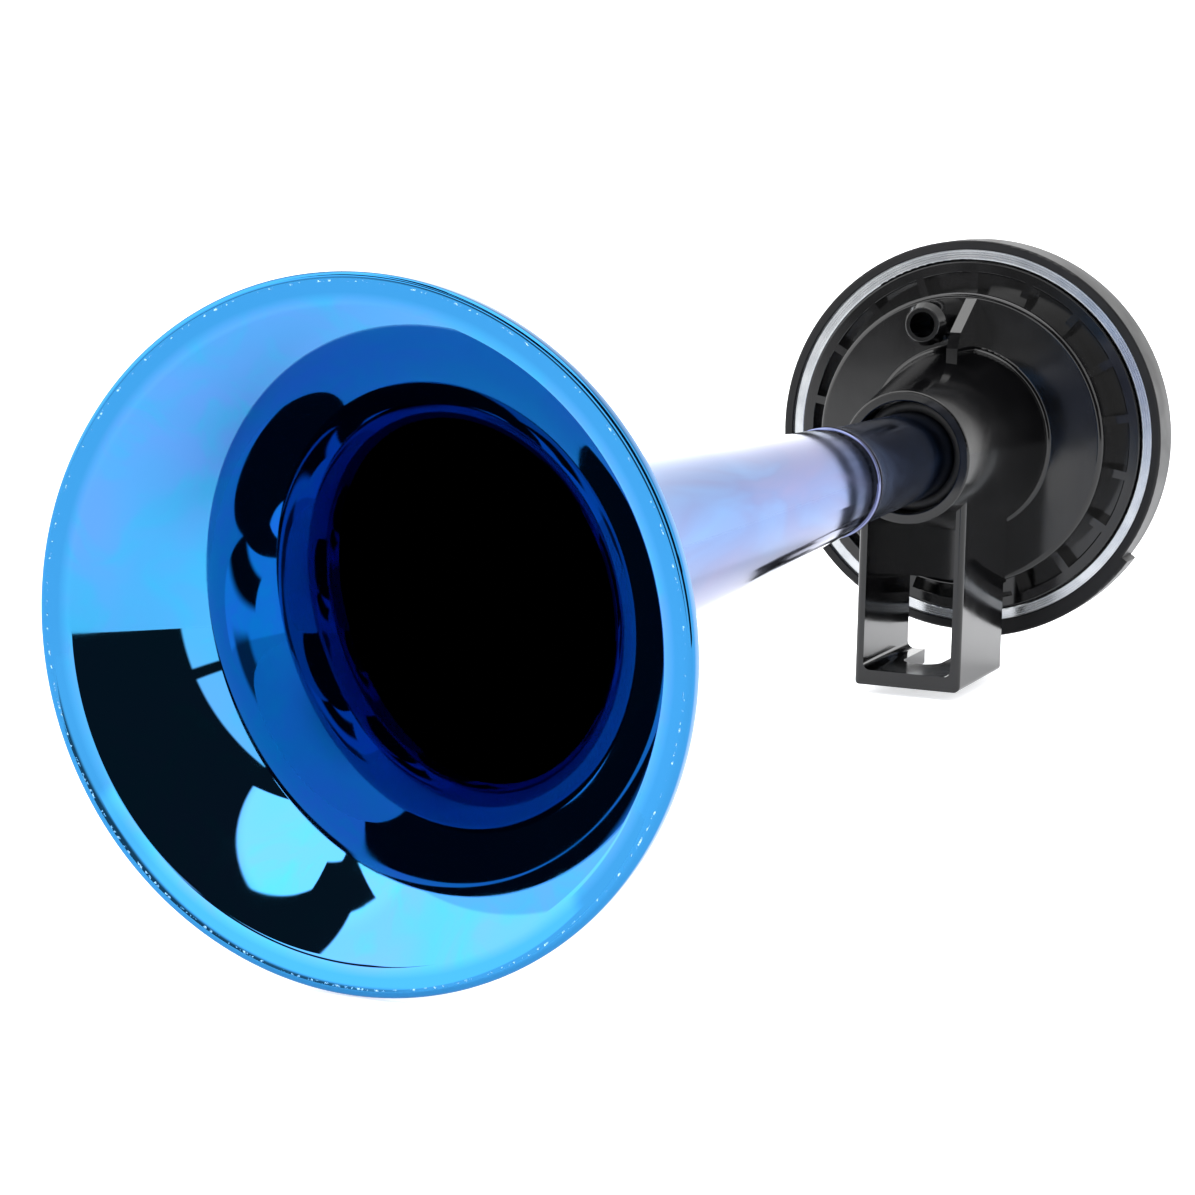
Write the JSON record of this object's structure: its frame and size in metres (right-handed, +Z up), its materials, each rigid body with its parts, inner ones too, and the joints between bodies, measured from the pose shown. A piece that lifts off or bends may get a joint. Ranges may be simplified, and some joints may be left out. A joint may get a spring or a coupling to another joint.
{
  "type": "air horn",
  "caption": "Air horn with a mirror-blue flared trumpet, a round black diaphragm housing with a bright ring, an air inlet spigot and an open mounting foot.",
  "frame": {"origin": "on the mounting foot's bottom face, on the horn's upright mid-plane, midway between the foot's front edge and the end of its bolt slot", "axes": "+X along the horn's axis from the bell's mouth to the rear cover; +Z up, from the foot to the horn; +Y to the left seen from the bell"},
  "size_m": [0.3256, 0.11, 0.11],
  "materials": {
    "blue_metallised": "mirror metallised, blue",
    "blue_neck": "mirror metallised, dark blue",
    "black_housing": "gloss black moulding",
    "black_cover": "gloss black moulding",
    "bright_ring": "polished",
    "spring_steel": "rolled",
    "brass": "turned",
    "rubber": "matt"
  },
  "bodies": {
    "horn": {"trumpet": "blue_metallised", "neck": "blue_neck", "neck_seal": "rubber", "front_housing": "black_housing", "nozzle": "brass", "front_gasket": "rubber", "rear_gasket": "rubber", "retaining_ring": "bright_ring", "cover_seal": "rubber", "rear_cover": "black_cover"},
    "diaphragm": {"diaphragm": "spring_steel"}
  },
  "joints": [
    {"name": "diaphragm_lift", "type": "slide", "parent": "horn", "child": "diaphragm", "axis": [1, 0, 0], "range_m": [0, 0.0003], "stiffness_N_per_m": 2000}
  ]
}
